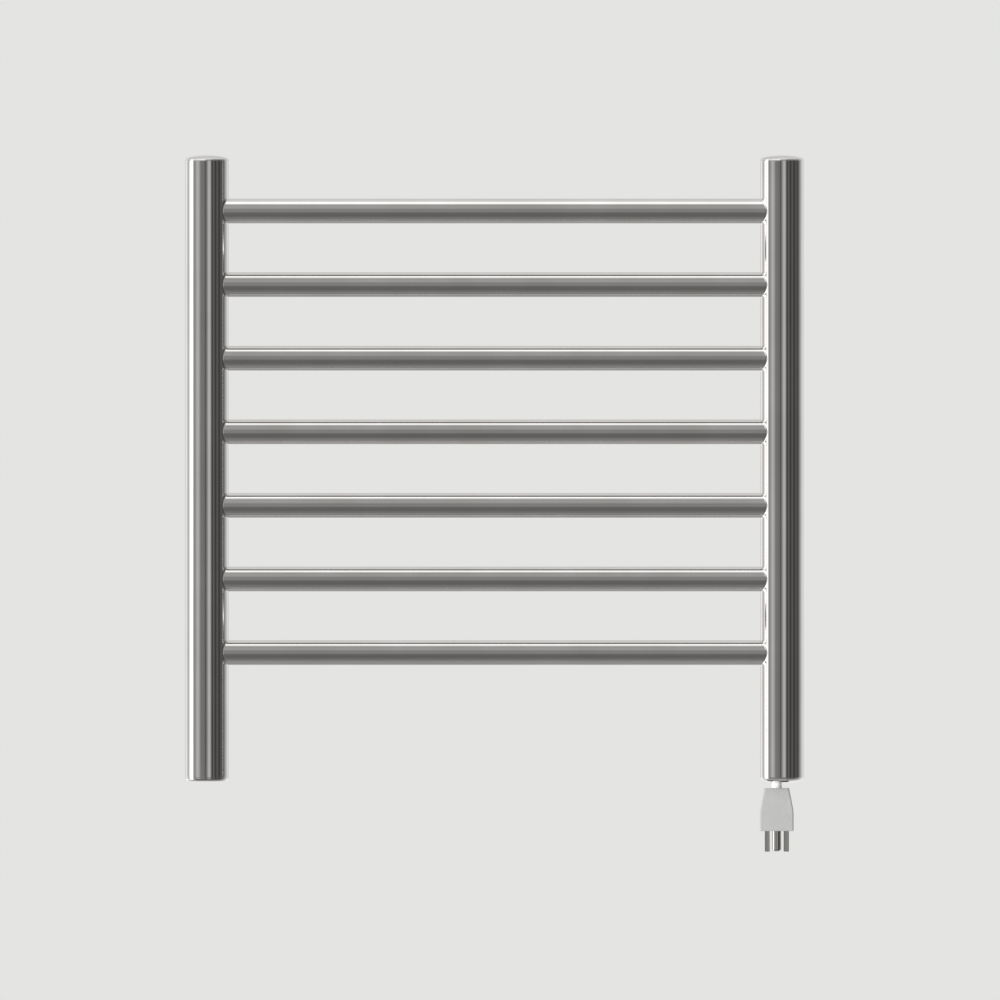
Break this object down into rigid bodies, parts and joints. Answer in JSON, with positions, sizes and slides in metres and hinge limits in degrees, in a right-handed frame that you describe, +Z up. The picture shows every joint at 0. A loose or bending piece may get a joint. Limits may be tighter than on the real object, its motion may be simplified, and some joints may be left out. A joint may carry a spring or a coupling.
{
  "type": "towel warmer rack",
  "caption": "Wall-hung electric towel warmer: a ladder of polished round tubes with domed caps, a heating cable inside and a short cord with a three-pin plug.",
  "frame": {"origin": "on the wall plane, behind the middle of the middle bar and at the centre of the four wall fixings", "axes": "+X to the right seen from the front, +Y into the wall, +Z up"},
  "size_m": [0.538, 0.104, 0.6058],
  "materials": {
    "polished_stainless": "mirror polished stainless steel tube",
    "satin_stainless": "turned stainless steel",
    "nickel_plated_brass": "bright nickel plate",
    "brass_screw": "turned brass",
    "plug_grey": "moulded, fine texture",
    "cord_white": "extruded PVC sheath",
    "black_rubber": "moulded rubber",
    "limiter_black": "epoxy-filled case",
    "clamp_nylon": "moulded nylon",
    "block_porcelain": "glazed porcelain",
    "cable_silicone": "silicone jacket",
    "core_brown": "PVC insulation",
    "core_blue": "PVC insulation",
    "core_green_yellow": "striped PVC insulation"
  },
  "bodies": {
    "wall_fixings": {"wall_plate_top_left": "satin_stainless", "wall_plate_top_right": "satin_stainless", "wall_plate_bottom_left": "satin_stainless", "wall_plate_bottom_right": "satin_stainless", "rose_top_left": "polished_stainless", "rose_top_right": "polished_stainless", "rose_bottom_left": "polished_stainless", "rose_bottom_right": "polished_stainless"},
    "rack": {"post_left": "polished_stainless", "post_right": "polished_stainless", "top_cap_left": "polished_stainless", "top_cap_right": "polished_stainless", "bottom_cap_left": "polished_stainless", "bottom_cap_right": "polished_stainless", "bar_1": "polished_stainless", "bar_2": "polished_stainless", "bar_3": "polished_stainless", "bar_4": "polished_stainless", "bar_5": "polished_stainless", "bar_6": "polished_stainless", "bar_7": "polished_stainless", "stem_top_left": "polished_stainless", "stem_top_right": "polished_stainless", "stem_bottom_left": "polished_stainless", "stem_bottom_right": "polished_stainless", "cord_clamp_screw": "satin_stainless", "earth_stud": "satin_stainless", "earth_nut": "satin_stainless", "earth_lug": "nickel_plated_brass", "plug_blade_line": "nickel_plated_brass", "plug_blade_neutral": "nickel_plated_brass", "plug_ground_pin": "nickel_plated_brass", "plug_body": "plug_grey", "power_cord": "cord_white", "cord_grommet": "black_rubber", "cable_end_seal": "black_rubber", "thermal_limiter": "limiter_black", "cord_clamp": "clamp_nylon", "terminal_block": "block_porcelain", "terminal_screw_line": "brass_screw", "terminal_screw_neutral": "brass_screw", "heating_cable": "cable_silicone", "limiter_lead": "cable_silicone", "line_core": "core_brown", "line_lead": "core_brown", "neutral_core": "core_blue", "neutral_lead": "core_blue", "earth_core": "core_green_yellow"},
    "grub_top_left": {"grub_screw_top_left": "satin_stainless"},
    "grub_top_right": {"grub_screw_top_right": "satin_stainless"},
    "grub_bottom_left": {"grub_screw_bottom_left": "satin_stainless"},
    "grub_bottom_right": {"grub_screw_bottom_right": "satin_stainless"}
  },
  "joints": [
    {"name": "rack_slide", "type": "slide", "parent": "wall_fixings", "child": "rack", "axis": [0, -1, 0], "range_m": [0, 0.01]},
    {"name": "grub_turn_top_left", "type": "hinge", "parent": "rack", "child": "grub_top_left", "pos_m": [-0.25, -0.022, 0.16], "axis": [0, 0, -1], "range_deg": [0, 450]},
    {"name": "grub_turn_top_right", "type": "hinge", "parent": "rack", "child": "grub_top_right", "pos_m": [0.25, -0.022, 0.16], "axis": [0, 0, -1], "range_deg": [0, 450]},
    {"name": "grub_turn_bottom_left", "type": "hinge", "parent": "rack", "child": "grub_bottom_left", "pos_m": [-0.25, -0.022, -0.16], "axis": [0, 0, -1], "range_deg": [0, 450]},
    {"name": "grub_turn_bottom_right", "type": "hinge", "parent": "rack", "child": "grub_bottom_right", "pos_m": [0.25, -0.022, -0.16], "axis": [0, 0, -1], "range_deg": [0, 450]}
  ]
}
